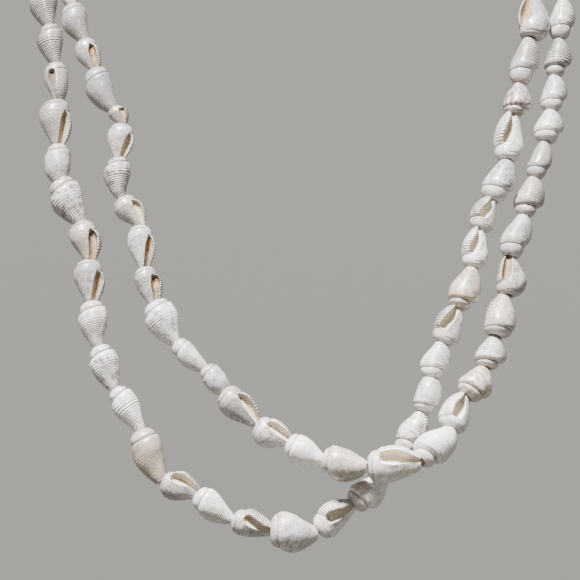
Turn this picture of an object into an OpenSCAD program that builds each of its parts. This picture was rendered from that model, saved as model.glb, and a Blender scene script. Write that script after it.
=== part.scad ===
// Shell necklace: one endless thread of small dove shells, worn as two turns round the neck.
// Millimetres. X is the wearer's left to right as seen from the front, the front faces -Y, +Z is up.
// The origin is the middle of the neck, level with the shoulders that the turns lie over.

/* [Thread] */
// Diameter of the thread
thread_d = 0.8; // [0.5:0.1:0.8]
// Diameter of the hole through each shell
bore_d = 1.3; // [1.3:0.1:1.5]
// Clear space between one shell and the next
shell_gap = 0.3; // [0.2:0.05:0.5]

/* [Shells] */
// Width of a shell against its charted width
shell_fullness = 1; // [0.85:0.01:1]
// Depth of the aperture slot as a share of the shell's radius
slot_depth = 0.5; // [0.2:0.05:0.55]
// How much the body whorl grows in one turn, as a share of its radius
whorl_growth = 0.16; // [0:0.02:0.2]
// How far the belly of a shell stands off its thread, as a share of its radius
belly_sway = 0.16; // [0:0.02:0.2]

/* [Neck] */
// Half of the width of the inner turn over the shoulders
neck_half_w = 67; // [62:1:72]
// Reach of the inner turn behind the middle of the neck
nape_reach = 45; // [40:1:50]
// Height of the nape above the shoulders
nape_rise = 3; // [0:1:8]
// Space between the two turns at the shoulders and the nape, centre to centre
turn_spacing = 9.6; // [9.5:0.1:11]

/* [Chest] */
// Radius of the chest's curve from top to bottom
chest_r = 482; // [400:10:600]
// Radius of the chest's curve from side to side
chest_side_r = 170; // [150:5:220]
// Reach of the chest in front of the middle of the neck
chest_reach = 100; // [90:1:110]

/* [Hidden] */

// Height at which the chest stands farthest forward
chest_z = -229;
// Height of the upper end of both fronts, where the turns leave the chest for the shoulders
front_top_z = -50;
// Distance of the thread from the chest, half of a common shell's width
thread_standoff = 3.8;
// Points on the course between one row of its tables and the next
course_steps = 6;

// Fronts of the two turns, from the upper left down and round to the upper right.
// Columns: x, z, lift of the thread off the other turn where the two cross.
first_front = [
    [-72.8, -46.1, 0], [-69.0, -66.6, 0], [-67.9, -85.9, 0], [-64.0, -105.2, 0],
    [-59.0, -124.5, 0], [-55.2, -143.8, 0], [-48.0, -162.6, 0], [-39.4, -181.9, 0],
    [-24.6, -190.7, 0], [-8.8, -195.9, 0], [3.9, -194.6, 0], [15.4, -187.4, -0.5],
    [25.9, -177.4, -1.2], [33.1, -163.7, -0.5], [37.8, -146.6, 0], [43.9, -128.6, 0],
    [49.1, -112.1, 0], [55.2, -93.6, 0], [60.1, -74.8, 0], [66.5, -48.9, 0]
];
second_front = [
    [-65.7, -41.2, 0], [-59.6, -63.2, 0], [-54.3, -79.8, 0], [-50.2, -94.1, 0],
    [-45.5, -109.3, 0], [-43.3, -123.9, 0], [-38.9, -136.9, 0], [-31.4, -147.9, 0],
    [-21.8, -158.4, 0], [-11.6, -168.6, 0], [-0.3, -175.5, 1], [11.3, -178.0, 5],
    [26.5, -178.3, 9.9], [37.0, -171.9, 6.0], [43.6, -159.0, 1.5], [51.3, -146.6, 0],
    [56.3, -132.8, 0], [59.0, -119.0, 0], [63.2, -102.4, 0], [67.6, -87.2, 0],
    [70.3, -70.7, 0], [72.8, -48.9, 0]
];

// Half of a turn from the chest up to the shoulder, on the right.
// Columns: share of the turn's half width, y, z.
shoulder_rise = [
    [0.975, -41, -30], [0.994, -22, -11], [1, 0, -1]
];

// Shells of the two fronts, in their order on the thread.
// Columns: length, width, way the aperture faces (0 the viewer, 180 the chest, -90 inwards),
// shift inwards of the tip, lean outwards of the belly as a share of half of the width.
first_shells = [
    [11.1, 7.6, 180, 0.2, 0.12], [11.3, 6.9, 165, 0.3, 0.22], [10.9, 6.6, 15, 0.6, 0.12],
    [12.6, 8.2, -45, -0.9, 0.12], [9.6, 6.7, 180, -2.2, 0.02], [13.3, 8.8, 150, 1.5, 0.24],
    [11.0, 7.8, -38, 0.8, -0.05], [11.3, 7.8, -42, -1.2, 0], [12.2, 7.8, 180, -1.5, 0.05],
    [12.4, 7.8, 170, -1.4, 0.05], [12.9, 7.3, 180, 1.5, 0], [14.7, 8.5, 190, -0.1, 0.12],
    [10.4, 7.8, -42, 2.6, -0.1], [11.5, 7.4, 180, -0.1, 0.12], [10.4, 7.4, -5, -0.1, -0.08],
    [12.0, 10.2, 175, -2.0, 0.08], [11.4, 8.2, 5, 0.0, -0.14], [11.1, 8.3, 180, -0.1, 0.12],
    [8.6, 5.4, 180, 0, 0], [12.0, 7.1, 108, 0.4, 0.05], [9.4, 6.4, 180, 0.4, 0.12],
    [9.9, 7.0, 108, 0.3, 0.02], [10.3, 7.9, -5, -0.9, 0], [12.0, 8.0, 185, -1.3, 0.1],
    [10.6, 7.2, 3, -0.1, 0], [9.1, 7.3, 8, -0.6, -0.05], [12.0, 7.8, 106, -1.5, 0.2],
    [13.1, 8.1, 5, 0.2, 0], [9.6, 7.6, 180, 0.4, 0.22], [13.5, 6.9, 108, 1.1, 0.2],
    [12.6, 8.4, -50, 1.5, 0.18]
];
second_shells = [
    [10.0, 5.9, 180, -0.9, 0.2], [10.9, 7.0, 180, -0.1, 0.3], [9.3, 6.3, -33, 0.2, 0.15],
    [12.0, 7.8, 180, 1.5, 0.3], [5.0, 4.8, -25, 3.3, -0.2], [9.0, 6.8, -50, -0.7, 0],
    [10.7, 7.3, 180, -3.3, 0.18], [8.9, 6.8, -44, 0.2, -0.04], [11.5, 6.9, -45, -0.6, 0],
    [9.7, 6.6, -28, -0.6, -0.06], [12.2, 9.0, 170, -0.7, 0.08], [10.2, 6.0, 190, 0.9, 0.14],
    [8.0, 5.7, 180, 0.9, -0.02], [12.1, 7.9, -42, 0.6, 0.05], [9.8, 7.9, -40, 1.8, 0.1],
    [10.6, 7.8, 200, 0.5, 0.1], [12.1, 8.8, 180, 0.3, 0.12], [13.8, 9.8, -28, -1.3, -0.12],
    [13.4, 8.8, 108, -1.2, 0.05], [10.5, 8.4, 5, -0.7, -0.1], [9.8, 8.6, 185, -1.6, 0.2],
    [9.0, 8.1, 180, 0.2, 0.18], [11.5, 8.8, -110, 0.8, 0], [10.4, 7.9, -30, 1.1, 0.3],
    [12.0, 7.1, 106, 0.1, 0], [10.9, 7.0, 106, 0.2, 0.2], [10.7, 6.1, 180, -0.1, 0.2],
    [9.0, 7.2, 108, 0, 0.2], [10.0, 6.5, 108, 0.3, 0.28], [10.9, 6.6, 108, 0.2, 0.3],
    [11.6, 6.5, 108, 0.1, 0.26]
];

// Shells that lie over the shoulders and round the nape repeat this chart, with the same columns.
neck_chart = [
    [11.4, 7.4, 180, 0.3, 0], [10.2, 7.0, -40, -0.4, 0], [12.0, 7.6, 170, 0.4, 0],
    [11.0, 7.2, 195, -0.3, 0], [11.8, 7.5, -10, 0.2, 0], [10.6, 7.1, 180, -0.2, 0],
    [12.4, 7.7, 160, 0, 0]
];
first_neck_count = 29;
second_neck_count = 32;

// Rings of a shell from its cut apex to its tip.
// Columns: height as a share of the length, radius as a share of half of the width,
// sway of the belly, slot, growth of the whorl. The two end rings have half of the sides.
shell_rings = [
    [0.00, 0.44, 0, 0, 0],
    [0.10, 0.72, 0.4, 0, 0],
    [0.27, 0.84, 0.8, 0, 0.5],
    [0.40, 1.06, 1, 0.9, 1],
    [0.70, 0.73, 0.6, 1, 1],
    [1.00, 0.38, 0, 0, 0]
];
ring_sides = 10;
end_sides = 5;
// Angles round a shell, from the way its aperture faces, to the lip, the wall beside the slot
// and the floor of the slot
lip_angle = -24;
wall_angle = -326;
floor_angle = -352;

function unit(v) = v / norm(v);
function total(list, count) = count == 0 ? 0 : list[count - 1] + total(list, count - 1);
function running(list) = [for (i = 0, sum = 0; i <= len(list); sum = sum + (i < len(list) ? list[i] : 0), i = i + 1) sum];
function column(table, number) = [for (row = table) row[number]];
function repeated(table, count) = [for (i = [0 : count - 1]) table[i % len(table)]];

// Depth of the chest behind a point of the front
function chest_y(x, z) =
    chest_r - chest_reach - sqrt(pow(chest_r, 2) - pow(z - chest_z, 2)) + pow(x, 2) / (2 * chest_side_r);
function on_chest(row) = [row[0], chest_y(row[0], row[1]) - thread_standoff - row[2], row[1]];

// The way over the right shoulder, round the nape and over the left shoulder
nape_angles = [30 : 30 : 150];
function round_neck(half_w, reach) = concat(
    [for (row = shoulder_rise) [row[0] * half_w, row[1], row[2]]],
    [for (a = nape_angles) [half_w * cos(a), reach * sin(a), nape_rise * sin(a)]],
    [for (i = [len(shoulder_rise) - 1 : -1 : 0]) [-shoulder_rise[i][0] * half_w, shoulder_rise[i][1], shoulder_rise[i][2]]]
);

// The whole course of the thread: four stretches joined end to end
first_course = [for (row = first_front) on_chest(row)];
inner_course = round_neck(neck_half_w, nape_reach);
second_course = [for (row = second_front) on_chest(row)];
outer_course = round_neck(neck_half_w + turn_spacing, nape_reach + turn_spacing);
course = concat(first_course, inner_course, second_course, outer_course);
stretch_starts = running([
    len(first_course) - 1, len(inner_course) + 1, len(second_course) - 1, len(outer_course) + 1
]);

// A smooth curve through the course: one point of it, t of the way from row i to the next
function course_row(i) = course[(i + len(course)) % len(course)];
function curve_point(i, t) =
    let (a = course_row(i - 1), b = course_row(i), c = course_row(i + 1), d = course_row(i + 2))
    b + t / 2 * (c - a + t * (2 * a - 5 * b + 4 * c - d + t * (3 * b - a - 3 * c + d)));
curve = [for (i = [0 : len(course) - 1], j = [0 : course_steps - 1]) curve_point(i, j / course_steps)];
curve_spans = [for (i = [0 : len(curve) - 1]) norm(curve[(i + 1) % len(curve)] - curve[i])];
curve_runs = running(curve_spans);
function curve_axis(number) =
    [for (i = [0 : len(curve)]) [curve_runs[i], curve[i % len(curve)][number]]];
curve_x = curve_axis(0);
curve_y = curve_axis(1);
curve_z = curve_axis(2);
function at(run) = [lookup(run, curve_x), lookup(run, curve_y), lookup(run, curve_z)];
tangent_step = 0.5;
function tangent_at(run) = unit(at(run + tangent_step) - at(run - tangent_step));

// Away from the wearer: forwards on the chest, up on the shoulders, back behind the neck
function outwards(p) = [0, p[1], 1.2 * max(0, p[2] - front_top_z)];
function square_to(v, direction) = unit(v - (v * direction) * direction);

// Every shell in its order on the thread, and the joints between them
charts = [first_shells, repeated(neck_chart, first_neck_count), second_shells, repeated(neck_chart, second_neck_count)];
function stretch_run(i) = curve_runs[stretch_starts[i] * course_steps];
function joint(run, shift) =
    let (p = at(run), along = tangent_at(run))
    p + shift * cross(square_to(outwards(p), along), along);
function stretch_joints(i) =
    let (
        chart = charts[i],
        lengths = running(column(chart, 0)),
        fit = (stretch_run(i + 1) - stretch_run(i)) / lengths[len(chart)]
    )
    [for (k = [0 : len(chart) - 1]) joint(stretch_run(i) + fit * lengths[k + 1], chart[k][3])];
tips = [for (i = [0 : 3]) each stretch_joints(i)];
shell_chart = [for (i = [0 : 3]) each charts[i]];
shell_count = len(shell_chart);
function tip(i) = tips[(i + shell_count) % shell_count];
function apex(i) = tip(i - 1);
function along(i) = unit(tip(i) - apex(i));
function half_bend(i) = acos(min(1, along(i) * along(i - 1))) / 2;

// Points of one shell: its rings, then the two ends of its bore
function ring_angle(k) = k == ring_sides - 1 ? floor_angle
    : lip_angle + (wall_angle - lip_angle) * k / (ring_sides - 2);
function ring_radius(ring, k) = k == ring_sides - 1 ? ring[1] * (1 - slot_depth * ring[3])
    : ring[1] * (1 + whorl_growth * ring[4] * (0.5 - k / (ring_sides - 2)));
function shell_points(i) =
    let (
        row = shell_chart[i],
        half_w = shell_fullness * row[1] / 2,
        direction = along(i),
        start = apex(i) + direction * (shell_gap / 2 + shell_rings[0][1] * half_w * tan(half_bend(i))),
        end = tip(i) - direction
            * (shell_gap / 2 + shell_rings[5][1] * half_w * tan(half_bend(i + 1))),
        front = square_to(outwards(start), direction),
        side = cross(direction, front),
        away = -(cos(row[2] + lip_angle) * front + sin(row[2] + lip_angle) * side),
        sway = half_w * (belly_sway * away + row[4] * side)
    )
    concat(
        [for (j = [0 : 5], k = [0 : (j % 5 == 0 ? 2 : 1) : ring_sides - 1])
            let (ring = shell_rings[j], a = row[2] + ring_angle(k), r = half_w * ring_radius(ring, k))
            start + ring[0] * (end - start) + ring[2] * sway + r * (cos(a) * front + sin(a) * side)],
        [for (p = [start, end], k = [0 : 2 : ring_sides - 1])
            let (a = row[2] + ring_angle(k))
            p + bore_d / 2 * (cos(a) * front + sin(a) * side)]
    );

// Faces between two rings of the same number of points, and between an end ring and the next
function band(a, b, sides) = [for (k = [0 : sides - 1])
    let (n = (k + 1) % sides)
    each [[a + k, a + n, b + k], [a + n, b + n, b + k]]];
function fan_out(a, b) = [for (k = [0 : end_sides - 1])
    let (n = (k + 1) % end_sides, m = 2 * k, o = 2 * k + 1, q = (2 * k + 2) % ring_sides)
    each [[a + k, b + o, b + m], [a + k, a + n, b + o], [a + n, b + q, b + o]]];
function flipped(faces) = [for (f = faces) [f[2], f[1], f[0]]];
first_ring = end_sides;
tip_ring = end_sides + 4 * ring_sides;
apex_bore = tip_ring + end_sides;
tip_bore = apex_bore + end_sides;
shell_points_count = tip_bore + end_sides;
shell_faces = concat(
    fan_out(0, first_ring),
    [for (j = [0 : 2]) each band(first_ring + j * ring_sides, first_ring + (j + 1) * ring_sides, ring_sides)],
    flipped(fan_out(tip_ring, tip_ring - ring_sides)),
    flipped(band(0, apex_bore, end_sides)),
    band(tip_ring, tip_bore, end_sides),
    flipped(band(apex_bore, tip_bore, end_sides))
);

module shells(first, last)
    polyhedron(
        points = [for (i = [first : last]) each shell_points(i)],
        faces = [for (i = [0 : last - first], f = shell_faces) f + i * shell_points_count * [1, 1, 1]]
    );

// Shells of a turn: its front, then its way round the neck
first_turn_count = len(first_shells) + first_neck_count;

module first_turn_shells()
    color("ivory") shells(0, first_turn_count - 1);

module second_turn_shells()
    color("seashell") shells(first_turn_count, shell_count - 1);

// The endless thread, with one ring of points at each joint
thread_sides = 5;
function thread_ring(i) =
    let (
        direction = unit(along(i) + along(i + 1)),
        front = square_to(outwards(tip(i)), direction),
        side = cross(direction, front)
    )
    [for (k = [0 : thread_sides - 1]) tip(i) + thread_d / 2 * (cos(-360 * k / thread_sides) * front
        + sin(-360 * k / thread_sides) * side)];

module thread()
    color("white") polyhedron(
        points = [for (i = [0 : shell_count - 1]) each thread_ring(i)],
        faces = [for (i = [0 : shell_count - 1])
            each band(i * thread_sides, (i + 1) % shell_count * thread_sides, thread_sides)]
    );

first_turn_shells();
second_turn_shells();
thread();
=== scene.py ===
import math

import bpy
import numpy as np
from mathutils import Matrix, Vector


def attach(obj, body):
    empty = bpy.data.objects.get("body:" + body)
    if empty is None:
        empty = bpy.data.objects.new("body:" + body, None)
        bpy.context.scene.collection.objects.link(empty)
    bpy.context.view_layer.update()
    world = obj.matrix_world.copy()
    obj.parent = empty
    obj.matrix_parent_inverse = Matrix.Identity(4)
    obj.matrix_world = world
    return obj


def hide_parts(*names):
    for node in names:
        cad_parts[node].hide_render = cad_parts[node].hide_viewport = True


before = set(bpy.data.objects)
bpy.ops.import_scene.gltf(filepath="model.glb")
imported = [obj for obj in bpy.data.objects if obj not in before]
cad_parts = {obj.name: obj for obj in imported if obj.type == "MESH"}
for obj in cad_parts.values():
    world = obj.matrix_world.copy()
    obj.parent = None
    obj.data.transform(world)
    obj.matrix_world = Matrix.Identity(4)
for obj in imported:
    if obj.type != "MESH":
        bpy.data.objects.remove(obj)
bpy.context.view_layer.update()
scene = bpy.context.scene
mm = 0.001

# Course of the thread, in millimetres: the two fronts, and the way round the back of each turn

backLoop = {
    "halfWidth": 67.0,  # inner turn, at the sides
    "reach": 45.0,
    "rise": 3.0,
    "turnSpacing": 9.6,
    "upwards": 1.2,  # how soon the outer side turns up, above the fronts
}
frontFall = {
    "radius": 482.0,  # top to bottom
    "sideRadius": 170.0,
    "reach": 100.0,
    "height": -229.0,  # where it stands farthest forward
    "top": -50.0,
    "standoff": 3.8,
}
courseSteps = 6  # points from one row to the next

# x, z, lift off the other turn where the two cross
firstFront = [
    (-72.8, -46.1, 0), (-69.0, -66.6, 0), (-67.9, -85.9, 0), (-64.0, -105.2, 0),
    (-59.0, -124.5, 0), (-55.2, -143.8, 0), (-48.0, -162.6, 0), (-39.4, -181.9, 0),
    (-24.6, -190.7, 0), (-8.8, -195.9, 0), (3.9, -194.6, 0), (15.4, -187.4, -0.5),
    (25.9, -177.4, -1.2), (33.1, -163.7, -0.5), (37.8, -146.6, 0), (43.9, -128.6, 0),
    (49.1, -112.1, 0), (55.2, -93.6, 0), (60.1, -74.8, 0), (66.5, -48.9, 0),
]
secondFront = [
    (-65.7, -41.2, 0), (-59.6, -63.2, 0), (-54.3, -79.8, 0), (-50.2, -94.1, 0),
    (-45.5, -109.3, 0), (-43.3, -123.9, 0), (-38.9, -136.9, 0), (-31.4, -147.9, 0),
    (-21.8, -158.4, 0), (-11.6, -168.6, 0), (-0.3, -175.5, 1), (11.3, -178.0, 5),
    (26.5, -178.3, 9.9), (37.0, -171.9, 6.0), (43.6, -159.0, 1.5), (51.3, -146.6, 0),
    (56.3, -132.8, 0), (59.0, -119.0, 0), (63.2, -102.4, 0), (67.6, -87.2, 0),
    (70.3, -70.7, 0), (72.8, -48.9, 0),
]
# share of the half width, y, z
sideRise = [(0.975, -41, -30), (0.994, -22, -11), (1, 0, -1)]

# Shells in their order on the thread. The aperture faces forwards at 0, backwards at 180 and
# inwards at -90; shift is the tip's, inwards; tan is inside, its tan and painted shade; lean is the
# belly's, outwards
# grey greys each shell: partly its own tone, partly painted shade and light on shells that lay darker or
# lighter
shellColumns = ("length", "width", "facing", "shift", "form", "cream", "blotch", "tan", "lean", "grey")
firstShells = [
    (11.1, 7.6, 180, 0.2, "ribbed", 0.15, 0.1, 0.3, 0.12, 0.7),
    (11.3, 6.9, 165, 0.3, "ribbed", 0.1, 0.3, 0.3, 0.22, 0.7),
    (10.9, 6.6, 15, 0.6, "gaping", 0.3, 0.1, 1.0, 0.12, 1.0),
    (12.6, 8.2, -45, -0.9, "domed", 0.0, 0.35, 0.75, 0.12, 0.9),
    (9.6, 6.7, 180, -2.2, "blunt", 0.15, 0.1, 0.3, 0.02, 0.45),
    (13.3, 8.8, 150, 1.5, "netted", 0.1, 0.75, 0.3, 0.24, 0.2),
    (11.0, 7.8, -38, 0.8, "domed", 0.5, 0.3, 0.9, -0.05, 0.9),
    (11.3, 7.8, -42, -1.2, "domed", 0.05, 0.05, 0.8, 0, 0.6),
    (12.2, 7.8, 180, -1.5, "netted", 0.4, 0.1, 0.3, 0.05, 0.0),
    (12.4, 7.8, 170, -1.4, "netted", 0.15, 0.55, 0.3, 0.05, 0.0),
    (12.9, 7.3, 180, 1.5, "ribbed", 0.05, 0.05, 0.3, 0, -0.2),
    (14.7, 8.5, 190, -0.1, "worn", 0.85, 0.1, 0.3, 0.12, 0.9),
    (10.4, 7.8, -42, 2.6, "gaping", 0.1, 0.1, 0.4, -0.1, 0.5),
    (11.5, 7.4, 180, -0.1, "smooth", 0.15, 0.1, 0.3, 0.12, -0.3),
    (10.4, 7.4, -5, -0.1, "flared", 0.15, 0.2, 0.5, -0.08, 0.3),
    (12.0, 10.2, 175, -2.0, "domed", 0.3, 0.4, 0.3, 0.08, 0.1),
    (11.4, 8.2, 5, 0.0, "flared", 0.1, 0.2, 0.35, -0.14, -0.2),
    (11.1, 8.3, 180, -0.1, "worn", 0.35, 0.2, 0.3, 0.12, -0.3),
    (8.6, 5.4, 180, 0, "smooth", 0.1, 0.1, 0.3, 0, 0.1),
    (12.0, 7.1, 108, 0.4, "worn", 0.1, 0.5, 0.5, 0.05, 0.1),
    (9.4, 6.4, 180, 0.4, "blunt", 0.05, 0.05, 0.3, 0.12, 0.25),
    (9.9, 7.0, 108, 0.3, "smooth", 0.05, 0.05, 0.3, 0.02, -0.1),
    (10.3, 7.9, -5, -0.9, "flared", 0.1, 0.1, 0.3, 0, 0.3),
    (12.0, 8.0, 185, -1.3, "broad", 1.0, 0.45, 0.3, 0.1, 0.35),
    (10.6, 7.2, 3, -0.1, "flared", 0.1, 0.1, 0.2, 0, -0.2),
    (9.1, 7.3, 8, -0.6, "flared", 0.1, 0.1, 0.0, -0.05, 0.25),
    (12.0, 7.8, 106, -1.5, "smooth", 0.05, 0.1, 0.3, 0.2, 0.3),
    (13.1, 8.1, 5, 0.2, "flared", 0.1, 0.1, 0.45, 0, -0.2),
    (9.6, 7.6, 180, 0.4, "netted", 0.5, 1.5, 0.3, 0.22, 0.2),
    (13.5, 6.9, 108, 1.1, "smooth", 0.2, 0.15, 0.3, 0.2, 0.55),
    (12.6, 8.4, -50, 1.5, "gaping", 0.05, 0.1, 0.8, 0.18, 0.6),
]
secondShells = [
    (10.0, 5.9, 180, -0.9, "slender", 0.1, 0.1, 0.3, 0.2, 0.5),
    (10.9, 7.0, 180, -0.1, "domed", 0.1, 0.1, 0.3, 0.3, 0.8),
    (9.3, 6.3, -33, 0.2, "domed", 0.3, 0.1, 0.95, 0.15, 0.8),
    (12.0, 7.8, 180, 1.5, "slender", 0.0, 0.1, 0.3, 0.3, 0.8),
    (5.0, 4.8, -25, 3.3, "flared", 0.1, 0.1, 0.9, -0.2, 0.8),
    (9.0, 6.8, -50, -0.7, "domed", 0.1, 0.1, 0.65, 0, 0.4),
    (10.7, 7.3, 180, -3.3, "ribbed", 0.1, 0.8, 0.3, 0.18, 0.35),
    (8.9, 6.8, -44, 0.2, "domed", 0.05, 0.05, 0.6, -0.04, 0.55),
    (11.5, 6.9, -45, -0.6, "domed", 0.05, 0.05, 0.9, 0, 0.3),
    (9.7, 6.6, -28, -0.6, "flared", 0.05, 0.05, 1.0, -0.06, 0.6),
    (12.2, 9.0, 170, -0.7, "netted", 0.05, 0.35, 0.3, 0.08, -0.2),
    (10.2, 6.0, 190, 0.9, "slender", 0.0, 0.0, 0.3, 0.14, 0.2),
    (8.0, 5.7, 180, 0.9, "blunt", 0.05, 0.05, 0.3, -0.02, 0.3),
    (12.1, 7.9, -42, 0.6, "domed", 0.15, 0.3, 0.5, 0.05, 0.6),
    (9.8, 7.9, -40, 1.8, "domed", 0.1, 0.1, 0.3, 0.1, 0.1),
    (10.6, 7.8, 200, 0.5, "worn", 0.05, 0.05, 0.3, 0.1, -0.5),
    (12.1, 8.8, 180, 0.3, "broad", 0.6, 0.15, 0.3, 0.12, 0.15),
    (13.8, 9.8, -28, -1.3, "gaping", 0.35, 0.1, 0.0, -0.12, -0.2),
    (13.4, 8.8, 108, -1.2, "capped", 0.0, 0.05, 0.3, 0.05, -0.5),
    (10.5, 8.4, 5, -0.7, "gaping", 0.1, 0.1, 0.1, -0.1, -0.1),
    (9.8, 8.6, 185, -1.6, "worn", 0.9, 0.3, 0.3, 0.2, 0.0),
    (9.0, 8.1, 180, 0.2, "ribbed", 0.05, 0.05, 0.3, 0.18, 0.1),
    (11.5, 8.8, -110, 0.8, "smooth", 0.5, 0.1, 0.5, 0, 0.3),
    (10.4, 7.9, -30, 1.1, "domed", 0.1, 0.1, 0.85, 0.3, 0.5),
    (12.0, 7.1, 106, 0.1, "smooth", 0.05, 0.05, 0.3, 0, 0.3),
    (10.9, 7.0, 106, 0.2, "broad", 0.5, 0.3, 0.3, 0.2, 0.5),
    (10.7, 6.1, 180, -0.1, "slender", 0.1, 0.1, 0.3, 0.2, 0.7),
    (9.0, 7.2, 108, 0, "smooth", 0.3, 0.1, 0.3, 0.2, -0.1),
    (10.0, 6.5, 108, 0.3, "smooth", 0.1, 0.1, 0.4, 0.28, 0.25),
    (10.9, 6.6, 108, 0.2, "ribbed", 0.1, 0.15, 0.3, 0.3, 0.65),
    (11.6, 6.5, 108, 0.1, "smooth", 0.1, 0.1, 0.3, 0.26, 0.25),
]
# Round the back this chart repeats
backShells = [
    (11.4, 7.4, 180, 0.3, "ribbed", 0.1, 0.2, 0.3, 0, 0.15),
    (10.2, 7.0, -40, -0.4, "flared", 0.1, 0.1, 0.7, 0, 0.15),
    (12.0, 7.6, 170, 0.4, "smooth", 0.3, 0.2, 0.3, 0, 0.15),
    (11.0, 7.2, 195, -0.3, "netted", 0.1, 0.6, 0.3, 0, 0.15),
    (11.8, 7.5, -10, 0.2, "flared", 0.2, 0.1, 0.8, 0, 0.15),
    (10.6, 7.1, 180, -0.2, "blunt", 0.7, 0.1, 0.3, 0, 0.15),
    (12.4, 7.7, 160, 0, "worn", 0.2, 0.3, 0.4, 0, 0.15),
]
backCounts = (29, 32)  # first turn, second turn


def unit(v):
    return v / np.linalg.norm(v)


def frontDepth(x, z):
    rise = math.sqrt(frontFall["radius"] ** 2 - (z - frontFall["height"]) ** 2)
    return frontFall["radius"] - frontFall["reach"] - rise + x * x / (2 * frontFall["sideRadius"])


def frontRows(rows):
    return [(x, frontDepth(x, z) - frontFall["standoff"] - lift, z) for x, z, lift in rows]


def backRows(halfWidth, reach):
    up = [(share * halfWidth, y, z) for share, y, z in sideRise]
    back = []
    for angle in range(30, 180, 30):
        c = math.cos(math.radians(angle))
        s = math.sin(math.radians(angle))
        back.append((halfWidth * c, reach * s, backLoop["rise"] * s))
    down = [(-x, y, z) for x, y, z in reversed(up)]
    return up + back + down


stretches = [
    frontRows(firstFront),
    backRows(backLoop["halfWidth"], backLoop["reach"]),
    frontRows(secondFront),
    backRows(backLoop["halfWidth"] + backLoop["turnSpacing"], backLoop["reach"] + backLoop["turnSpacing"]),
]
rows = np.array([p for stretch in stretches for p in stretch], float)
rowsPerStretch = [
    len(firstFront) - 1,
    len(stretches[1]) + 1,
    len(secondFront) - 1,
    len(stretches[3]) + 1,
]


def smoothCourse(points, steps):
    # Catmull-Rom through every row, closed
    before = np.roll(points, 1, axis=0)
    after = np.roll(points, -1, axis=0)
    beyond = np.roll(points, -2, axis=0)
    square = 2 * before - 5 * points + 4 * after - beyond
    cube = 3 * points - before - 3 * after + beyond
    out = []
    for j in range(steps):
        t = j / steps
        out.append(points + t / 2 * (after - before + t * (square + t * cube)))
    return np.stack(out, axis=1).reshape(-1, 3)


course = smoothCourse(rows, courseSteps)
courseLoop = np.vstack([course, course[:1]])
courseRuns = np.concatenate([[0], np.cumsum(np.linalg.norm(np.diff(courseLoop, axis=0), axis=1))])


def pointAt(run):
    return np.array([np.interp(run, courseRuns, courseLoop[:, axis]) for axis in range(3)])


def wayAt(run):
    return unit(pointAt(run + 0.5) - pointAt(run - 0.5))


def outwards(p):
    # forwards at the front, up at the sides, backwards at the back
    return np.array([0, p[1], backLoop["upwards"] * max(0, p[2] - frontFall["top"])])


def squareTo(v, direction):
    return unit(v - v.dot(direction) * direction)


def jointAt(run, shift):
    p = pointAt(run)
    way = wayAt(run)
    return p + shift * np.cross(squareTo(outwards(p), way), way)


def readChart(chart):
    return [dict(zip(shellColumns, row)) for row in chart]


charts = [
    readChart(firstShells),
    readChart(backShells[i % len(backShells)] for i in range(backCounts[0])),
    readChart(secondShells),
    readChart(backShells[i % len(backShells)] for i in range(backCounts[1])),
]
tips = []
starts = np.concatenate([[0], np.cumsum(rowsPerStretch)]) * courseSteps
for number, chart in enumerate(charts):
    begin = courseRuns[starts[number]]
    end = courseRuns[starts[number + 1]]
    lengths = np.cumsum([shell["length"] for shell in chart])
    for shell, length in zip(chart, lengths):
        tips.append(jointAt(begin + (end - begin) * length / lengths[-1], shell["shift"]))
tips = np.array(tips)
shells = [shell for chart in charts for shell in chart]
shellCount = len(shells)
ways = np.array([unit(tips[i] - tips[i - 1]) for i in range(shellCount)])
print("course:", round(courseRuns[-1] / 1000, 3), "m,", shellCount, "shells")

# Shell forms: each is one shell of length 1 and half width 1, apex at 0, tip at 1 on Z,
# with its aperture towards +X and its lip towards -Y

formGrid = {
    "spireRows": 16,
    "bodyRows": 72,
    "outerPoints": 20,
    "lipMargin": 5.0,  # degrees between the slit and the outer wall
    "seamDepth": 0.05,
    "vanish": 0.1,  # height past the apex where the whorls would run out
}
plainForm = {
    "spire": 0.28,  # height of the suture
    "steep": 1.9,  # growth from one whorl to the next
    "cap": 0.16,  # step at the suture
    "full": 0.0,  # fuller than the outline
    "tip": 0.04,  # the same towards the tip
    "lumps": 0.03,
    "ribs": 0.022,  # height
    "ribCount": 16,  # over a shell's length
    "ribZone": 0.55,  # height where they begin
    "allRound": 0.4,  # share of their height away from the lip
    "folds": 0.0,  # lengthways, height
    "slit": 0.27,  # half width of the aperture
    "head": 0.5,  # share of it at the upper end
    "gape": 0.2,  # share of it lost towards the tip
    "slant": 8,  # of the aperture, degrees
    "deep": 1.0,  # depth of the aperture
    "varix": 0.05,  # thickening behind the lip
    "lipRibs": 0.03,  # teeth on the lip
}
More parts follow.
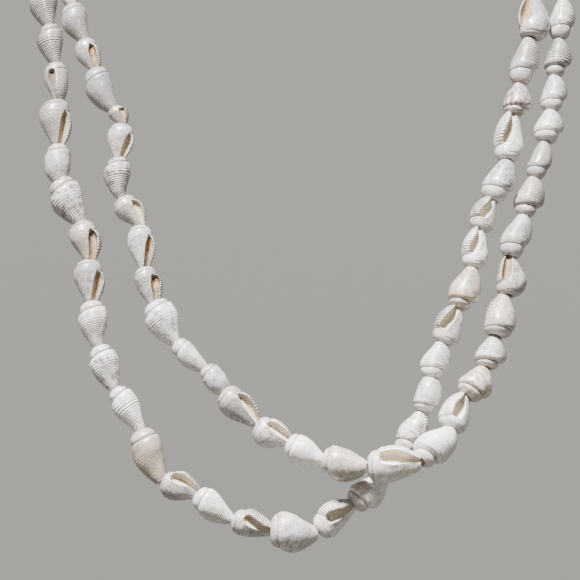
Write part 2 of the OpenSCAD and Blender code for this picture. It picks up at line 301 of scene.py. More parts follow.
# what each form has otherwise
shellForms = {
    "blunt": {
        "spire": 0.29, "full": 0.06, "tip": 0.26, "allRound": 0.35, "slit": 0.26,
    },
    "broad": {
        "steep": 2.0, "cap": 0.22, "full": 0.05, "tip": -0.03, "lumps": 0.04, "ribs": 0.032,
        "ribCount": 17, "ribZone": 0.42, "allRound": 0.6, "folds": 0.006, "slit": 0.26,
        "varix": 0.06, "lipRibs": 0.02,
    },
    "capped": {
        "spire": 0.25, "steep": 2.1, "cap": 0.42, "full": 0.03, "tip": -0.05, "ribs": 0.058,
        "ribCount": 17, "ribZone": 0.22, "allRound": 1.0,
    },
    "domed": {
        "spire": 0.27, "steep": 2.2, "cap": 0.04, "full": 0.03, "tip": -0.07, "lumps": 0.02,
        "ribs": 0.032, "allRound": 0.45, "slit": 0.3, "head": 0.55, "gape": 0.3, "slant": 4,
        "deep": 0.75, "lipRibs": 0.018,
    },
    "flared": {
        "spire": 0.27, "cap": 0.07, "ribs": 0.045, "ribZone": 0.4, "slit": 0.34, "head": 0.85,
        "gape": 0.5, "slant": 18, "deep": 0.72, "varix": 0.09, "lipRibs": 0.035,
    },
    "gaping": {
        "spire": 0.2, "cap": 0.04, "tip": 0.0, "ribs": 0.02, "ribZone": 0.6, "allRound": 0.3,
        "slit": 0.38, "head": 0.8, "gape": 0.8, "slant": 0, "deep": 0.9, "varix": 0.08,
        "lipRibs": 0.0,
    },
    "netted": {
        "steep": 2.1, "cap": 0.22, "full": 0.02, "tip": -0.12, "ribs": 0.026, "ribCount": 17,
        "ribZone": 0.34, "allRound": 0.75, "folds": 0.018, "varix": 0.06, "lipRibs": 0.02,
    },
    "ribbed": {
        "spire": 0.27, "steep": 2.1, "cap": 0.3, "tip": -0.12, "lumps": 0.025, "ribs": 0.075,
        "ribCount": 15, "ribZone": 0.34, "allRound": 0.95, "varix": 0.07, "lipRibs": 0.01,
    },
    "slender": {
        "spire": 0.32, "cap": 0.1, "full": -0.03, "ribCount": 17, "slit": 0.24, "varix": 0.04,
    },
    "smooth": {
        "spire": 0.31, "steep": 2.0, "cap": 0.08, "tip": -0.04, "ribs": 0.045, "ribCount": 18,
        "ribZone": 0.46, "allRound": 0.7, "slit": 0.28, "varix": 0.04, "lipRibs": 0.05,
    },
    "worn": {
        "spire": 0.3, "cap": 0.14, "full": 0.03, "tip": -0.02, "lumps": 0.065, "ribs": 0.01,
        "ribCount": 15, "ribZone": 0.45, "slit": 0.28,
    },
}
variants = 3  # of each form
# height, radius of the body, radius of the lip, belly
outline = [
    (0.00, 0.50, 0.50, 0.4), (0.02, 0.64, 0.64, 0.45), (0.05, 0.77, 0.77, 0.5), (0.10, 0.88, 0.88, 0.6),
    (0.16, 0.95, 0.95, 0.7), (0.22, 0.99, 0.99, 0.8), (0.30, 1.02, 1.04, 0.9), (0.38, 1.01, 1.09, 1.0),
    (0.46, 0.97, 1.12, 1.0), (0.55, 0.89, 1.12, 0.9), (0.65, 0.79, 1.06, 0.75), (0.75, 0.67, 0.96, 0.55),
    (0.85, 0.55, 0.80, 0.35), (0.93, 0.46, 0.61, 0.2), (1.00, 0.35, 0.40, 0.0),
]
# Aperture from the columella to the lip: way across in slit halves, share of the radius of the
# body or of the lip, inside, depth
aperture = [
    (1.16, 0.995, 0.0, 0.0), (1.07, 0.96, 0.0, 0.0), (0.97, 0.86, 0.3, 0.05), (0.82, 0.69, 0.7, 0.25),
    (0.45, 0.56, 1, 0.6), (-0.3, 0.50, 1, 0.9), (-1.0, 0.51, 1, 1), (-1.45, 0.66, 1, 0.9),
    (-1.32, 0.83, 0.9, 0.5), (-1.06, 0.93, 0.4, 0.15), (-0.98, 0.985, 0.0, 0.0),
]
lipPoints = 4  # of these, on the lip


def smoothStep(low, high, x):
    t = np.clip((x - low) / (high - low), 0, 1)
    return t * t * (3 - 2 * t)


def eased(table, column, x, width=0.02):
    # a table read with its corners rounded
    knots = np.array(table)
    total = 0
    for offset, weight in ((-1, 0.25), (0, 0.5), (1, 0.25)):
        total = total + weight * np.interp(x + offset * width, knots[:, 0], knots[:, column])
    return total


def suturedGrid(spire, steep):
    # share of the way round, clockwise from the lip; the slit takes the last columns
    outerShare = np.linspace(0, 1, formGrid["outerPoints"])
    count = len(aperture)
    slitShare = (np.arange(count) + 1) / (count + 1)
    share = np.concatenate([outerShare, 1 + 0 * slitShare])[None, :]
    across = np.concatenate([0 * outerShare, slitShare])[None, :]

    # rows run along the suture of the body whorl, which climbs round the shell
    vanish = formGrid["vanish"]
    nominal = np.concatenate([0.03 + 0.88 * outerShare, 0.91 + 0.12 * slitShare])[None, :]
    seamHeight = (spire + vanish) * steep ** -np.minimum(nominal, 1) - vanish
    wrapped = smoothStep(0, 1, across)
    lipHeight = (spire + vanish) * steep ** -0.03 - vanish
    seamHeight = seamHeight * (1 - wrapped) + lipHeight * wrapped
    above = np.concatenate([np.linspace(0, 0.96, formGrid["spireRows"] - 1), [0.99]])[:, None]
    fine = [0.0, 0.009, 0.018, 0.029, 0.042]
    below = np.concatenate([fine, np.linspace(fine[-1], 1, formGrid["bodyRows"] - 4)[1:]])[:, None]
    tall = np.vstack([above * seamHeight, seamHeight + below * (1 - seamHeight)])
    return share, across, seamHeight, tall


def whorlRelief(form, spire, steep, tall, turn, seamHeight, across):
    # a suture runs where the number of the whorl is whole
    vanish = formGrid["vanish"]
    whorl = np.log((tall + vanish) / (spire + vanish)) / math.log(steep) + turn
    part = whorl - np.floor(whorl)
    atWrap = smoothStep(0.6, 1, turn) * (1 - smoothStep(spire - 0.05, spire + 0.08, tall))
    onSpire = np.where(whorl < 0, 1, atWrap)
    shoulder = (1 - np.clip(whorl / 0.34, 0, 1)) ** 2.4
    shrink = np.maximum(np.where(whorl < 0, 1, shoulder), atWrap)
    upper = np.exp(-(np.minimum(part, 1 - part) / 0.09) ** 2) * (whorl < -0.5)
    stepped = form["cap"] * shrink * (0.5 + 0.5 * smoothStep(0, spire, tall))
    cushion = np.sin(np.pi * np.clip(tall / seamHeight, 0, 1) ** 1.3)
    relief = -stepped + (0.01 + 0.2 * form["cap"]) * onSpire * cushion - 0.012 * upper
    relief = relief + 0.02 * np.exp(-((whorl - 0.4) / 0.2) ** 2) * (1 - shrink)
    seam = np.zeros_like(tall)
    for row, depth in ((-1, 0.6), (0, 1), (1, 0.8), (2, 0.2)):
        seam[formGrid["spireRows"] + row] = depth
    seam = seam * (1 - smoothStep(0, 0.4, across))
    return relief - formGrid["seamDepth"] * seam, seam, onSpire, upper


def ribRelief(form, tall, turn):
    # ribs climb away from the lip and are strongest beside it
    twist = turn * (0.06 + 0.38 * smoothStep(0.45, 0.9, tall))
    ribWay = (tall + twist) * form["ribCount"]
    ridge = np.abs(np.sin(np.pi * ribWay)) ** 0.7
    nearLip = np.exp(-(turn / 0.2) ** 2)
    zone = smoothStep(form["ribZone"], form["ribZone"] + 0.14, tall + 0.12 * turn + 0.16 * nearLip)
    side = form["allRound"] + (1.2 - form["allRound"]) * np.exp(-(turn / 0.33) ** 2)
    side = side + 0.3 * smoothStep(0.7, 1, turn)
    ribMask = np.clip(zone * side, 0, 1)
    ribDepth = form["ribs"] + form["lipRibs"] * nearLip
    return ribDepth * ribMask * (ridge - 0.6), ribWay, ribMask, ribDepth


def lumpWaves(tall, turn, rng):
    total = 0
    for wave in range(5):
        a, b = rng.uniform(0, 2 * np.pi, 2)
        total = total + np.sin((wave % 3 + 1) * 2 * np.pi * turn + a) * np.sin((2 + wave) * 2.2 * tall + b)
    return total


def mouthPoints(form, height, slit, wallBehind, wallBefore):
    # the aperture from the columella, over its floor, to the toothed lip
    cut = np.array(aperture)[None, :, :]
    count = len(aperture)
    toothed = smoothStep(0.42, 0.5, height) * (1 - smoothStep(0.85, 0.95, height))
    teeth = 3.0 * form["lipRibs"] * np.sin(2 * np.pi * height * 14) * toothed
    crest = (np.arange(count) >= count - 2)[None, :]
    onLip = (np.arange(count) >= count - lipPoints)[None, :]
    sideways = slit * cut[:, :, 0] * (1 + crest * teeth)
    sunk = 1 - form["deep"] * (1 - cut[:, :, 1])
    reach = np.where(onLip, wallBefore, wallBehind) * sunk
    forwards = np.sqrt(np.maximum(reach ** 2 - 0.8 * sideways ** 2, 0.01))
    return forwards, sideways, cut[:, :, 2], cut[:, :, 3]


def closeEnds(x, y, tall, values):
    # the hollow of the cut apex, and the closed tip
    def ring(source, scale, level, deep):
        at = {key: value[source].copy() for key, value in values.items()}
        at["depth"] = at["depth"] * 0 + deep
        at["inside"] = at["inside"] * 0 + deep
        midX = x[source].mean()
        midY = y[source].mean()
        ringX = midX + (x[source] - midX) * scale
        ringY = midY + (y[source] - midY) * scale
        return ringX, ringY, level + 0 * ringX, at

    # these rings count as inside and deep, so the hollow takes the inside colour with its painted shade
    before = [ring(0, 0.45, 0.08, 1), ring(0, 0.6, 0.015, 0.6)]
    after = [ring(-1, 0.6, 0.992, 0.4)]
    grids = [
        np.vstack([r[axis] for r in before] + [whole] + [r[axis] for r in after])
        for axis, whole in enumerate((x, y, tall))
    ]
    values = {
        key: np.vstack([r[3][key] for r in before] + [value] + [r[3][key] for r in after])
        for key, value in values.items()
    }
    return np.stack(grids, axis=-1), values


def gridMesh(name, points, values):
    rowCount, columns = points.shape[:2]
    faces = []
    for j in range(rowCount - 1):
        for i in range(columns):
            n = (i + 1) % columns
            faces.append((j * columns + i, (j + 1) * columns + i, (j + 1) * columns + n, j * columns + n))
    last = (rowCount - 1) * columns
    faces.append(tuple(range(columns)))
    faces.append(tuple(last + i for i in reversed(range(columns))))
    mesh = bpy.data.meshes.new(name)
    mesh.from_pydata(points.reshape(-1, 3).tolist(), [], faces)
    for key, value in values.items():
        layer = mesh.attributes.new(key, "FLOAT", "POINT")
        layer.data.foreach_set("value", np.ascontiguousarray(value, dtype=np.float32).ravel())
    mesh.polygons.foreach_set("use_smooth", [True] * len(mesh.polygons))
    mesh.update()
    return mesh


def shellForm(name, form, seed):
    rng = np.random.default_rng(seed)
    spire = form["spire"] + rng.uniform(-0.015, 0.015)
    steep = form["steep"] * rng.uniform(0.95, 1.05)
    share, across, seamHeight, tall = suturedGrid(spire, steep)

    puffed = form["full"] * np.sin(np.pi * np.clip(tall * 1.05, 0, 1))
    puffed = puffed + form["tip"] * smoothStep(0.35, 0.85, tall)
    body = eased(outline, 1, tall) + puffed
    lip = eased(outline, 2, tall) + puffed
    opening = smoothStep(spire - 0.01, spire + 0.07, tall)
    narrowing = 1 - form["gape"] * smoothStep(0.42, 0.92, tall)
    slit = form["slit"] * narrowing * (form["head"] + (1 - form["head"]) * smoothStep(spire, 0.5, tall))
    half = np.degrees(np.arcsin(np.clip(slit / np.maximum(body, 0.4), 0, 0.8)))
    half = np.where(tall < spire, 16, half) + formGrid["lipMargin"]
    angle = np.where(across > 0, -360 + half - 2 * half * across, -half - (360 - 2 * half) * share)
    turn = ((-angle - 15) / 360) % 1

    relief, seam, onSpire, upper = whorlRelief(form, spire, steep, tall, turn, seamHeight, across)
    ribs, ribWay, ribMask, ribDepth = ribRelief(form, tall, turn)
    folds = form["folds"] * np.sin(2 * np.pi * (turn * 16 + 0.7 * tall))
    folds = folds * smoothStep(0.15, 0.35, tall) * (1 - smoothStep(0.65, 0.9, tall))
    relief = relief + form["lumps"] * lumpWaves(tall, turn, rng) / 2.2 + folds

    # the lip flares out of the body and is thickened behind its edge
    rising = smoothStep(spire - 0.12, spire + 0.2, tall)
    atLip = np.exp(-(share / 0.30) ** 2) * rising
    growth = 0.05 * opening * (1 - 2 * share) * (share < 1)
    varix = form["varix"] * np.exp(-(share / 0.06) ** 2) * rising * (1 - 0.5 * smoothStep(0.8, 1, tall))
    radius = body * (1 + relief + growth) + (lip - body) * atLip + varix + ribs * np.minimum(body, 0.9)
    bend, bendWay = rng.uniform(0, 0.06), rng.uniform(0, 2 * np.pi)
    x = radius * np.cos(np.radians(angle))
    y = radius * np.sin(np.radians(angle))

    mouth = np.s_[:, -len(aperture):]
    wallBehind = radius[:, formGrid["outerPoints"] - 1][:, None]
    wallBefore = radius[:, :1]
    forwards, sideways, within, sunk = mouthPoints(form, tall[mouth], slit[mouth], wallBehind, wallBefore)
    openness = opening[mouth]
    x[mouth] = (1 - openness) * x[mouth] + openness * forwards
    y[mouth] = (1 - openness) * y[mouth] + openness * sideways

    # the aperture slants, and no shell is quite straight
    slant = math.radians(form["slant"]) * (1 - smoothStep(0.25, 0.9, tall))
    x, y = x * np.cos(slant) + y * np.sin(slant), y * np.cos(slant) - x * np.sin(slant)
    x = x + bend * math.cos(bendWay) * np.sin(2 * np.pi * tall) * (1 - tall)
    y = y + bend * math.sin(bendWay) * np.sin(2 * np.pi * tall) * (1 - tall)

    # what the material reads
    inside = np.zeros_like(tall)
    depth = np.zeros_like(tall)
    inside[mouth] = openness * within
    depth[mouth] = openness * sunk
    outside = 1 - inside
    values = {
        "belly": eased(outline, 3, tall),
        "suture": np.clip(seam + 0.15 * upper, 0, 1) * outside,
        "ribWay": ribWay,
        "ribMask": ribMask * np.minimum(1, ribDepth / 0.04) * outside,
        "turn": turn,
        "cap": onSpire * outside,
        "inside": inside,
        "depth": depth,
    }
    points, values = closeEnds(x, y, tall, values)
    return bpy.data.objects.new(name, gridMesh(name, points, values))


formNames = sorted(shellForms)
formCollection = bpy.data.collections.new("shellForms")
formObjects = []
for order, name in enumerate(formNames):
    for variant in range(variants):
        form = {**plainForm, **shellForms[name]}
        formObjects.append(shellForm(f"{name}{variant}", form, 10 * order + variant))
for form in formObjects:
    formCollection.objects.link(form)
print("shell forms:", len(formObjects), "of", len(formObjects[0].data.polygons), "faces")

# Shaders


def node(tree, kind, **values):
    made = tree.nodes.new(kind)
    for key, value in values.items():
        setattr(made, key, value)
    return made


def attribute(tree, name):
    return node(tree, "ShaderNodeAttribute", attribute_type="GEOMETRY", attribute_name=name).outputs["Fac"]


def setOrLink(tree, socket, value):
    if isinstance(value, bpy.types.NodeSocket):
        tree.links.new(value, socket)
    else:
        socket.default_value = value


def maths(tree, operation, a, b=0.0, clamp=False):
    made = node(tree, "ShaderNodeMath", operation=operation, use_clamp=clamp)
    setOrLink(tree, made.inputs[0], a)
    setOrLink(tree, made.inputs[1], b)
    return made.outputs[0]


def ramp(tree, value, low, high):
    made = node(tree, "ShaderNodeMapRange", interpolation_type="SMOOTHSTEP")
    setOrLink(tree, made.inputs["Value"], value)
    made.inputs["From Min"].default_value = low
    made.inputs["From Max"].default_value = high
    return made.outputs["Result"]


def mixColour(tree, factor, a, b):
    made = node(tree, "ShaderNodeMix", data_type="RGBA", clamp_factor=True)
    setOrLink(tree, made.inputs[0], factor)
    for socket, value in ((made.inputs[6], a), (made.inputs[7], b)):
        setOrLink(tree, socket, value if isinstance(value, bpy.types.NodeSocket) else (*value, 1))
    return made.outputs[2]


def noise(tree, vector, scale, detail=3.0, rough=0.55):
    made = node(tree, "ShaderNodeTexNoise")
    tree.links.new(vector, made.inputs["Vector"])
    made.inputs["Scale"].default_value = scale
    made.inputs["Detail"].default_value = detail
    made.inputs["Roughness"].default_value = rough
    return made.outputs["Fac"]


def addBump(tree, shader, height, strength, distance):
    bump = node(tree, "ShaderNodeBump")
    bump.inputs["Strength"].default_value = strength
    bump.inputs["Distance"].default_value = distance
    tree.links.new(height, bump.inputs["Height"])
    tree.links.new(bump.outputs["Normal"], shader.inputs["Normal"])


shellLook = {
    "white": (0.80, 0.782, 0.77),
    "greyed": (0.19, 0.18, 0.184),
    "chalk": (0.82, 0.815, 0.81),
    "cream": (0.42, 0.335, 0.25),
    "capTone": (0.42, 0.37, 0.34),
    "blotch": (0.19, 0.13, 0.135),
    "creamInside": (0.90, 0.80, 0.65),
    # near-black: the inside's own tan with painted shade of the hollow
    "tanAndShadeInside": (0.095, 0.072, 0.05),
    "gold": (0.42, 0.23, 0.08),
    # dark for the dirt in the pits, and for the painted shade in the rib valleys and along the suture
    "dirtAndShade": (0.10, 0.086, 0.088),
    "roughness": 0.28,
    "roughGrain": 0.3,  # added by the fine grain
    "roughInside": 0.25,  # added inside
    "coat": 0.7,  # on the outside alone
    "coatRoughness": 0.25,
    "ior": 1.5,
    "translucency": 0.08,
    "translucentTint": (1.0, 0.75, 0.6),
    "translucentDepth": 0.0005,  # metres
    "bump": 0.00016,  # metres
    "bumpStrength": 0.8,
}
# scale, detail and roughness of each noise
shellGrain = {
    "broad": (110, 2, 0.55),
    "soft": (260, 3, 0.55),
    "spots": (700, 3, 0.6),
    "fine": (1500, 4, 0.65),
    "pits": (2600, 2, 0.6),
}
# how much of each wear there is, and of the painted shade in the grooves
shellWear = {
    "grey": 0.2,
    "greyPatches": 0.2,
    "greySpots": 0.32,
    "chalk": 0.5,
    "creamPatches": 0.25,
    "cap": 0.15,
    "capPatches": 0.5,
    "blotches": 1.8,
    "bands": 1.3,  # of blotches, radians from one rib to the next
    "flames": 88.0,  # of blotches, radians in one turn
    "strokesFrom": 0.8,  # shells more blotched than this have strokes too
    "strokesEnd": (5.4, 6.6),  # ribs from the apex
    "pits": 0.45,
    # the suture, the valleys and beside the lip: painted shade in the grooves; blotched valleys and valley
    # patches: stain and dirt
    "suture": 0.8,
    "valleys": 0.1,
    "valleysBlotched": 0.75,
    "valleyPatches": 0.2,
    "valleyShadeBesideLip": 0.35,
}


def bleachedShell():
    look = shellLook
    wear = shellWear
    material = bpy.data.materials.new("bleachedShell")
    material.use_nodes = True
    tree = material.node_tree
    shader = tree.nodes["Principled BSDF"]
    place = node(tree, "ShaderNodeTexCoord").outputs["Object"]
    grain = {name: noise(tree, place, *sizes) for name, sizes in shellGrain.items()}
    inside = attribute(tree, "inside")
    ribWay = attribute(tree, "ribWay")
    turn = attribute(tree, "turn")
    cap = attribute(tree, "cap")
    blotch = attribute(tree, "blotch")
    tan = attribute(tree, "tan")

    def plus(a, b, clamp=False):
        return maths(tree, "ADD", a, b, clamp)

    def minus(a, b, clamp=False):
        return maths(tree, "SUBTRACT", a, b, clamp)

    def times(a, b, clamp=False):
        return maths(tree, "MULTIPLY", a, b, clamp)

    def sine(a):
        return maths(tree, "SINE", a)

    # ribs: valleys between broad ridges
    wave = maths(tree, "ABSOLUTE", sine(times(ribWay, math.pi)))
    valley = times(minus(1.0, ramp(tree, wave, 0.1, 1.0)), attribute(tree, "ribMask"))

    # worn patches, greyed and chalky
    greyed = plus(wear["grey"], times(ramp(tree, grain["soft"], 0.42, 0.62), wear["greyPatches"]))
    # the grey column greys whole shells: partly their own tone, partly painted shade and light
    greyed = plus(greyed, attribute(tree, "grey"))
    greySpots = times(ramp(tree, grain["spots"], 0.46, 0.66), wear["greySpots"])
    colour = mixColour(tree, plus(greyed, greySpots, clamp=True), look["white"], look["greyed"])
    chalky = times(ramp(tree, grain["fine"], 0.5, 0.75), wear["chalk"])
    colour = mixColour(tree, chalky, colour, look["chalk"])
    creamy = times(ramp(tree, grain["broad"], 0.45, 0.7), wear["creamPatches"])
    creamy = plus(attribute(tree, "cream"), creamy)
    creamy = times(creamy, ramp(tree, grain["spots"], 0.25, 0.6), clamp=True)
    colour = mixColour(tree, creamy, colour, look["cream"])
    dulled = times(cap, plus(wear["cap"], times(grain["broad"], wear["capPatches"])))
    colour = mixColour(tree, dulled, colour, look["capTone"])

    # blotches lie in bands along the ribs, and as short flames across them
    bands = ramp(tree, sine(times(ribWay, wear["bands"])), -0.5, 0.9)
    flames = ramp(tree, sine(times(turn, wear["flames"])), -0.3, 0.8)
    pattern = maths(tree, "MAXIMUM", times(bands, flames), 0.5)
    speck = times(times(ramp(tree, grain["spots"], 0.50, 0.60), pattern), blotch)

    # the most blotched have strokes beside the suture too
    strokes = minus(flames, ramp(tree, ribWay, *wear["strokesEnd"]), clamp=True)
    strokes = minus(strokes, cap, clamp=True)
    heavy = minus(blotch, wear["strokesFrom"], clamp=True)
    speck = times(plus(speck, times(strokes, heavy)), wear["blotches"], clamp=True)
    colour = mixColour(tree, speck, colour, look["blotch"])

    # dirt in the pits; between the ribs and along the suture, stain and dirt with painted shade in the
    # grooves
    pits = ramp(tree, grain["pits"], 0.56, 0.72)
    colour = mixColour(tree, times(pits, wear["pits"]), colour, look["dirtAndShade"])
    stainAndShade = plus(wear["valleys"], times(blotch, wear["valleysBlotched"]))
    stainAndShade = plus(stainAndShade, times(ramp(tree, grain["soft"], 0.4, 0.6), wear["valleyPatches"]))
    stainAndShade = plus(stainAndShade, times(ramp(tree, turn, 0.3, 0.0), wear["valleyShadeBesideLip"]))
    colour = mixColour(tree, times(valley, stainAndShade, clamp=True), colour, look["dirtAndShade"])
    suture = ramp(tree, attribute(tree, "suture"), 0.3, 0.95)
    colour = mixColour(tree, times(suture, wear["suture"]), colour, look["dirtAndShade"])

    # cream inside, turning to tan and painted shade as tan rises, golden in patches deep down
    golden = times(ramp(tree, attribute(tree, "depth"), 0.5, 1.1), ramp(tree, grain["spots"], 0.42, 0.58))
    golden = times(golden, maths(tree, "POWER", tan, 1.3))
    warm = mixColour(tree, tan, look["creamInside"], look["tanAndShadeInside"])
    warm = mixColour(tree, golden, warm, look["gold"])
    tree.links.new(mixColour(tree, inside, colour, warm), shader.inputs["Base Color"])

    rough = plus(look["roughness"], times(grain["fine"], look["roughGrain"]))
    rough = plus(rough, times(inside, look["roughInside"]))
    tree.links.new(rough, shader.inputs["Roughness"])
    tree.links.new(times(minus(1.0, inside), look["coat"]), shader.inputs["Coat Weight"])
    shader.inputs["Coat Roughness"].default_value = look["coatRoughness"]
    shader.inputs["IOR"].default_value = look["ior"]
    shader.inputs["Subsurface Weight"].default_value = look["translucency"]
    shader.inputs["Subsurface Radius"].default_value = look["translucentTint"]
    shader.inputs["Subsurface Scale"].default_value = look["translucentDepth"]
    height = plus(times(grain["fine"], 0.5), times(grain["spots"], 0.6))
    height = minus(minus(height, times(pits, 0.4)), times(valley, 0.6))
    addBump(tree, shader, height, look["bumpStrength"], look["bump"])
    return material


threadLook = {
    "colours": ((0.62, 0.57, 0.49), (0.80, 0.77, 0.70)),
    "roughness": 0.8,
    "fibre": 4000,
    "bump": 0.0001,  # metres
    "bumpStrength": 0.5,
}


def cottonThread():
    material = bpy.data.materials.new("cottonThread")
    material.use_nodes = True
    tree = material.node_tree
    shader = tree.nodes["Principled BSDF"]
    place = node(tree, "ShaderNodeTexCoord").outputs["Object"]
    fibre = noise(tree, place, threadLook["fibre"])
    colour = mixColour(tree, fibre, *threadLook["colours"])
    tree.links.new(colour, shader.inputs["Base Color"])
    shader.inputs["Roughness"].default_value = threadLook["roughness"]
    addBump(tree, shader, fibre, threadLook["bumpStrength"], threadLook["bump"])
    return material


shellMaterial = bleachedShell()
threadMaterial = cottonThread()

# Strings of shells

string = {
    "fullness": 1.0,
    "length": 1.0,
    "roll": 0.06,  # radians either way
    "rollSeed": 8,
    "gap": 0.05,  # before each apex, mm
    "apexWidth": 0.44,  # share of the width that has to clear the shell before
    "sway": 0.16,  # how far a belly stands off the thread, away from the lip
    "lipAngle": -24.0,  # degrees from the aperture
    "nest": 0.45,  # how far a tip reaches into the next apex, mm
}


def strungShellsTree():
    tree = bpy.data.node_groups.new("strungShells", "GeometryNodeTree")
    face = tree.interface
    face.new_socket("Joints", in_out="INPUT", socket_type="NodeSocketGeometry")
    face.new_socket("Forms", in_out="INPUT", socket_type="NodeSocketCollection")
    for measure in ("Fullness", "Length", "Roll"):
        face.new_socket(measure, in_out="INPUT", socket_type="NodeSocketFloat")
    face.new_socket("Finish", in_out="INPUT", socket_type="NodeSocketMaterial")
    face.new_socket("Shells", in_out="OUTPUT", socket_type="NodeSocketGeometry")
    start = node(tree, "NodeGroupInput")
    finish = node(tree, "NodeGroupOutput")
    link = tree.links.new

    def named(name, kind):
        made = node(tree, "GeometryNodeInputNamedAttribute", data_type=kind)
        made.inputs["Name"].default_value = name
        return made.outputs["Attribute"]

    # each shell runs along its way and faces where its chart says, give or take a little roll
    forms = node(tree, "GeometryNodeCollectionInfo")
    forms.inputs["Separate Children"].default_value = True
    forms.inputs["Reset Children"].default_value = True
    link(start.outputs["Forms"], forms.inputs["Collection"])
    along = node(tree, "FunctionNodeAlignRotationToVector", axis="Z")
    link(named("way", "FLOAT_VECTOR"), along.inputs["Vector"])
    facing = node(tree, "FunctionNodeAlignRotationToVector", axis="X", pivot_axis="Z")
    link(along.outputs["Rotation"], facing.inputs["Rotation"])
    link(named("facing", "FLOAT_VECTOR"), facing.inputs["Vector"])
    chance = node(tree, "FunctionNodeRandomValue", data_type="FLOAT")
    chance.inputs["Seed"].default_value = string["rollSeed"]
    low = node(tree, "ShaderNodeMath", operation="MULTIPLY")
    low.inputs[1].default_value = -1
    link(start.outputs["Roll"], low.inputs[0])
    link(low.outputs[0], chance.inputs[2])
    link(start.outputs["Roll"], chance.inputs[3])
    spin = node(tree, "FunctionNodeAxisAngleToRotation")
    spin.inputs["Axis"].default_value = (0, 0, 1)
    link(chance.outputs[1], spin.inputs["Angle"])
    turned = node(tree, "FunctionNodeRotateRotation", rotation_space="LOCAL")
    link(facing.outputs["Rotation"], turned.inputs["Rotation"])
    link(spin.outputs["Rotation"], turned.inputs["Rotate By"])

    # one form for each joint, at the joint's size
    stretch = node(tree, "ShaderNodeCombineXYZ")
    link(start.outputs["Fullness"], stretch.inputs["X"])
    link(start.outputs["Fullness"], stretch.inputs["Y"])
    link(start.outputs["Length"], stretch.inputs["Z"])
    sized = node(tree, "ShaderNodeVectorMath", operation="MULTIPLY")
    link(named("size", "FLOAT_VECTOR"), sized.inputs[0])
    link(stretch.outputs["Vector"], sized.inputs[1])
    placed = node(tree, "GeometryNodeInstanceOnPoints")
    placed.inputs["Pick Instance"].default_value = True
    link(start.outputs["Joints"], placed.inputs["Points"])
    link(forms.outputs["Instances"], placed.inputs["Instance"])
    link(named("form", "INT"), placed.inputs["Instance Index"])
    link(turned.outputs["Rotation"], placed.inputs["Rotation"])
    link(sized.outputs["Vector"], placed.inputs["Scale"])
    real = node(tree, "GeometryNodeRealizeInstances")
    link(placed.outputs["Instances"], real.inputs["Geometry"])

    # the belly stands off the thread, the ends stay on it
    offset = node(tree, "ShaderNodeVectorMath", operation="SCALE")
    link(named("lean", "FLOAT_VECTOR"), offset.inputs[0])
    link(named("belly", "FLOAT"), offset.inputs["Scale"])
    leaning = node(tree, "GeometryNodeSetPosition")
    link(real.outputs["Geometry"], leaning.inputs["Geometry"])
    link(offset.outputs["Vector"], leaning.inputs["Offset"])
    painted = node(tree, "GeometryNodeSetMaterial")
    link(leaning.outputs["Geometry"], painted.inputs["Geometry"])
    link(start.outputs["Finish"], painted.inputs["Material"])
    link(painted.outputs["Geometry"], finish.inputs["Shells"])
    return tree


shellsTree = strungShellsTree()
# what each joint tells the tree and the material
jointKinds = {
    "way": "FLOAT_VECTOR",
    "facing": "FLOAT_VECTOR",
    "size": "FLOAT_VECTOR",
    "lean": "FLOAT_VECTOR",
    "form": "INT",
    "cream": "FLOAT",
    "blotch": "FLOAT",
    "tan": "FLOAT",
    "grey": "FLOAT",
}


def jointData(first, last):
    points = []
    data = {key: [] for key in jointKinds}
    for i in range(first, last + 1):
        shell = shells[i]
        way = ways[i]
        halfWidth = shell["width"] / 2
        bend = math.acos(min(1, way.dot(ways[i - 1]))) / 2
        begin = tips[i - 1] + way * (string["gap"] + string["apexWidth"] * halfWidth * math.tan(bend))
        end = tips[i] + way * string["nest"]
        front = squareTo(outwards(begin), way)
        side = np.cross(way, front)
        turn = math.radians(shell["facing"])
        lipTurn = turn + math.radians(string["lipAngle"])
        lean = -string["sway"] * (math.cos(lipTurn) * front + math.sin(lipTurn) * side)
        lean = lean + side * shell["lean"]
        points.append(tuple(begin * mm))
        data["way"].append(way)
        data["facing"].append(math.cos(turn) * front + math.sin(turn) * side)
        data["size"].append(np.array([halfWidth, halfWidth, np.linalg.norm(end - begin)]) * mm)
        data["lean"].append(lean * halfWidth * mm)
        data["form"].append(formNames.index(shell["form"]) * variants + i % variants)
        for tone in ("cream", "blotch", "tan", "grey"):
            data[tone].append(shell[tone])
    return points, data


def strungShells(name, first, last):
    points, data = jointData(first, last)
    mesh = bpy.data.meshes.new(name + "Joints")
    mesh.from_pydata(points, [], [])
    for key, kind in jointKinds.items():
        layer = mesh.attributes.new(key, kind, "POINT")
        field = "vector" if kind == "FLOAT_VECTOR" else "value"
        values = np.array(data[key], dtype=np.int32 if kind == "INT" else np.float32)
        layer.data.foreach_set(field, values.ravel())
    joints = bpy.data.objects.new(name + "Joints", mesh)
    scene.collection.objects.link(joints)
    modifier = joints.modifiers.new("strungShells", "NODES")
    modifier.node_group = shellsTree
    sockets = {item.name: item.identifier for item in shellsTree.interface.items_tree}
    modifier[sockets["Forms"]] = formCollection
    modifier[sockets["Fullness"]] = string["fullness"]
    modifier[sockets["Length"]] = string["length"]
    modifier[sockets["Roll"]] = string["roll"]
    modifier[sockets["Finish"]] = shellMaterial
    evaluated = joints.evaluated_get(bpy.context.evaluated_depsgraph_get())
    made = bpy.data.meshes.new_from_object(evaluated)
    made.name = name
    piece = bpy.data.objects.new(name, made)
    scene.collection.objects.link(piece)
    joints.modifiers.clear()
    bpy.data.objects.remove(joints)
    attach(piece, "root")
    print(name, "shells", last - first + 1, "faces", len(made.polygons))
    return piece


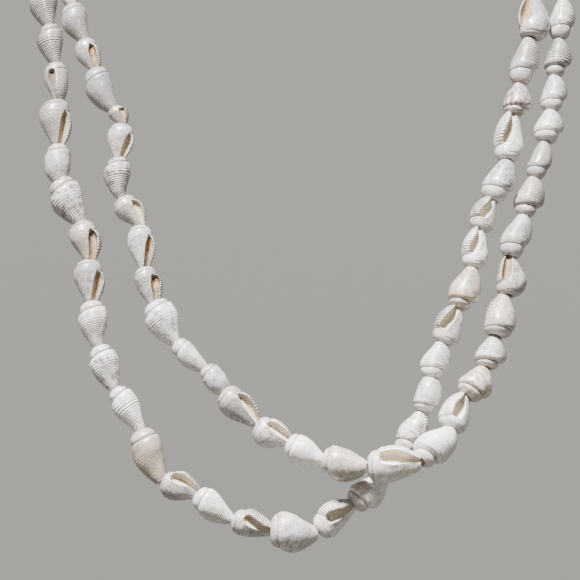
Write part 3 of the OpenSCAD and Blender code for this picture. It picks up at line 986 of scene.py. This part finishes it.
firstCount = len(firstShells)
secondStart = firstCount + backCounts[0]
secondEnd = secondStart + len(secondShells)
parts = {
    "firstTurnFront": (0, firstCount - 1, "first_turn_shells"),
    "firstTurnNeck": (firstCount, secondStart - 1, "first_turn_shells"),
    "secondTurnFront": (secondStart, secondEnd - 1, "second_turn_shells"),
    "secondTurnNeck": (secondEnd, shellCount - 1, "second_turn_shells"),
}
for name, (first, last, cadNode) in parts.items():
    piece = strungShells(name, first, last)
    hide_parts(cadNode)

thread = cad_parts["thread"]
thread.data.materials.clear()
thread.data.materials.append(threadMaterial)

# Stage, light and camera

stageLook = {
    "floorHeight": -0.26,
    "flat": 3.0,
    "rim": 8.0,
    "steps": 12,  # up the rising edge
    "sides": 96,
    "colour": (0.034, 0.033, 0.030),
    "glow": (0.92, 0.90, 0.84),  # keeps the far side of the dish pale too
    "glowStrength": 0.24,
}
lights = {
    "window": {
        "place": (-0.25, -0.56, 1.15),
        "spread": 14,  # degrees
        "strength": 25.0,
        "colour": (1.0, 0.99, 0.97),
    },
    "bounce": {
        "place": (1.2, -1.2, -0.1),
        "target": (-0.004, -0.085, -0.13),
        "size": 1.2,
        "power": 2,
        "colour": (0.96, 0.93, 0.98),
    },
}
room = {
    "colour": (0.93, 0.95, 1.0),
    "strength": 0.06,
}


def plainFloor():
    # a wide dish: flat under the necklace, rising far behind it on every side
    flat = stageLook["flat"]
    spread = stageLook["rim"] - flat
    profile = [(0.0, 0.0), (flat, 0.0)]
    for step in range(1, stageLook["steps"] + 1):
        a = step / stageLook["steps"] * math.pi / 2
        profile.append((flat + spread * math.sin(a), spread * (1 - math.cos(a))))
    sides = stageLook["sides"]
    points = []
    for radius, height in profile:
        for i in range(sides):
            a = 2 * math.pi * i / sides
            points.append((radius * math.cos(a), radius * math.sin(a), stageLook["floorHeight"] + height))
    faces = []
    for j in range(len(profile) - 1):
        for i in range(sides):
            n = (i + 1) % sides
            faces.append((j * sides + i, (j + 1) * sides + i, (j + 1) * sides + n, j * sides + n))
    mesh = bpy.data.meshes.new("floor")
    mesh.from_pydata(points, [], faces)
    mesh.polygons.foreach_set("use_smooth", [True] * len(faces))
    floor = bpy.data.objects.new("floor", mesh)
    scene.collection.objects.link(floor)
    material = bpy.data.materials.new("paleFloor")
    material.use_nodes = True
    shader = material.node_tree.nodes["Principled BSDF"]
    shader.inputs["Base Color"].default_value = (*stageLook["colour"], 1)
    shader.inputs["Emission Color"].default_value = (*stageLook["glow"], 1)
    shader.inputs["Emission Strength"].default_value = stageLook["glowStrength"]
    shader.inputs["Specular IOR Level"].default_value = 0.0
    shader.inputs["Roughness"].default_value = 0.9
    mesh.materials.append(material)


def addLamp(name, light, place, away):
    lamp = bpy.data.objects.new(name, light)
    scene.collection.objects.link(lamp)
    lamp.location = place
    lamp.rotation_euler = Vector(away).to_track_quat("Z", "Y").to_euler()
    return lamp


def areaLight(name, place, target, size, power, colour):
    light = bpy.data.lights.new(name, "AREA")
    light.shape = "DISK"
    light.size = size
    light.energy = power
    light.color = colour
    away = np.array(place) - np.array(target)
    addLamp(name, light, place, away.tolist()).visible_camera = False


def sunlight(name, place, spread, strength, colour):
    light = bpy.data.lights.new(name, "SUN")
    light.angle = math.radians(spread)
    light.energy = strength
    light.color = colour
    addLamp(name, light, place, place)


plainFloor()
sunlight("window", **lights["window"])
areaLight("bounce", **lights["bounce"])
world = bpy.data.worlds.new("softRoom")
world.use_nodes = True
background = world.node_tree.nodes["Background"]
background.inputs["Color"].default_value = (*room["colour"], 1)
background.inputs["Strength"].default_value = room["strength"]
scene.world = world

view = {
    "distance": 2.0,
    "field": 0.160,  # width of the picture at the shells
    "aim": (-0.0035, -0.085, -0.1302),
    "sensor": 36,
    "farthest": 60,
}
camera = bpy.data.objects.new("camera", bpy.data.cameras.new("camera"))
scene.collection.objects.link(camera)
camera.location = (view["aim"][0], view["aim"][1] - view["distance"], view["aim"][2])
camera.rotation_euler = (math.radians(90), 0, 0)
camera.data.sensor_width = view["sensor"]
camera.data.lens = view["sensor"] * view["distance"] / view["field"]
camera.data.clip_end = view["farthest"]
scene.camera = camera

bpy.context.view_layer.update()
print("stage, light and camera done")
